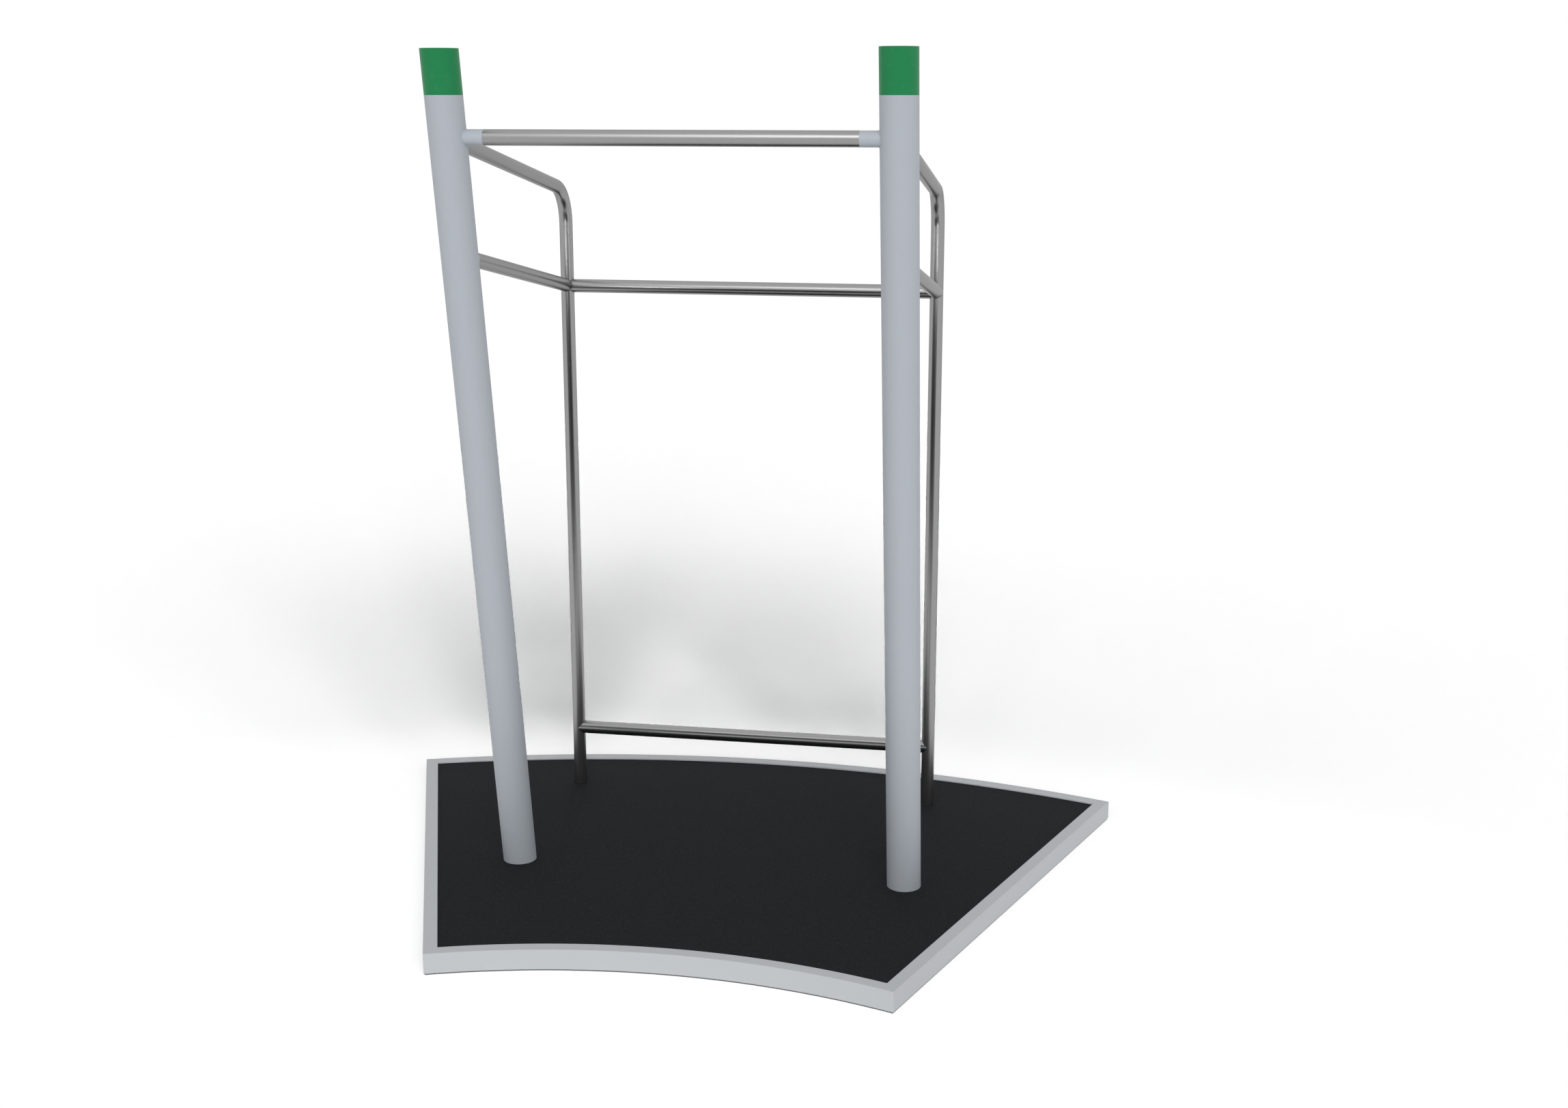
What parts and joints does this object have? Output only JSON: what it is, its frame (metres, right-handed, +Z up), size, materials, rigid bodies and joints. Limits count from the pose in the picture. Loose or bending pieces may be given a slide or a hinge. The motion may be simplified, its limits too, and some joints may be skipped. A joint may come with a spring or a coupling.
{
  "type": "pull-up and dip station",
  "caption": "Free-standing outdoor pull-up and dip station: leaning posts with a pull-up bar, sloping side bars bent down to uprights, cross bars and a ring-sector base with a rubber mat.",
  "frame": {"origin": "on the floor, at the middle of the base's box", "axes": "+X to the right of someone who faces the front, +Y to the back, +Z up"},
  "size_m": [2.401, 1.7152, 2.4855],
  "materials": {
    "post_paint": "satin powder coat, light blue-grey",
    "edge_paint": "satin powder coat, pale grey",
    "cap_green": "satin, green",
    "bar_steel": "ground along the tube",
    "zinc_steel": "zinc plated",
    "mat_rubber": "matt, fine granules",
    "strip_rubber": "matt"
  },
  "bodies": {
    "root": {"front_rail": "edge_paint", "rear_rail": "edge_paint", "left_rail": "edge_paint", "right_rail": "edge_paint", "floor_strips": "strip_rubber", "outer_left_joist": "zinc_steel", "inner_left_joist": "zinc_steel", "centre_joist": "zinc_steel", "inner_right_joist": "zinc_steel", "outer_right_joist": "zinc_steel", "left_deck_plate": "zinc_steel", "right_deck_plate": "zinc_steel", "deck_screws": "zinc_steel", "rubber_mat": "mat_rubber", "left_post": "post_paint", "right_post": "post_paint", "left_post_cap": "cap_green", "right_post_cap": "cap_green", "left_post_flange": "post_paint", "right_post_flange": "post_paint", "post_bolts": "zinc_steel", "post_washers": "zinc_steel", "left_top_stub": "post_paint", "right_top_stub": "post_paint", "left_top_spigot": "zinc_steel", "right_top_spigot": "zinc_steel", "top_bar": "bar_steel", "left_upper_stub": "post_paint", "right_upper_stub": "post_paint", "left_upper_spigot": "zinc_steel", "right_upper_spigot": "zinc_steel", "left_upper_bar": "bar_steel", "right_upper_bar": "bar_steel", "left_mid_stub": "post_paint", "right_mid_stub": "post_paint", "left_mid_spigot": "zinc_steel", "right_mid_spigot": "zinc_steel", "left_mid_bar": "bar_steel", "right_mid_bar": "bar_steel", "rear_mid_bar": "bar_steel", "rear_low_bar": "bar_steel", "left_upright_flange": "bar_steel", "right_upright_flange": "bar_steel", "upright_bolts": "zinc_steel", "upright_washers": "zinc_steel", "set_screws": "zinc_steel"}
  },
  "joints": []
}
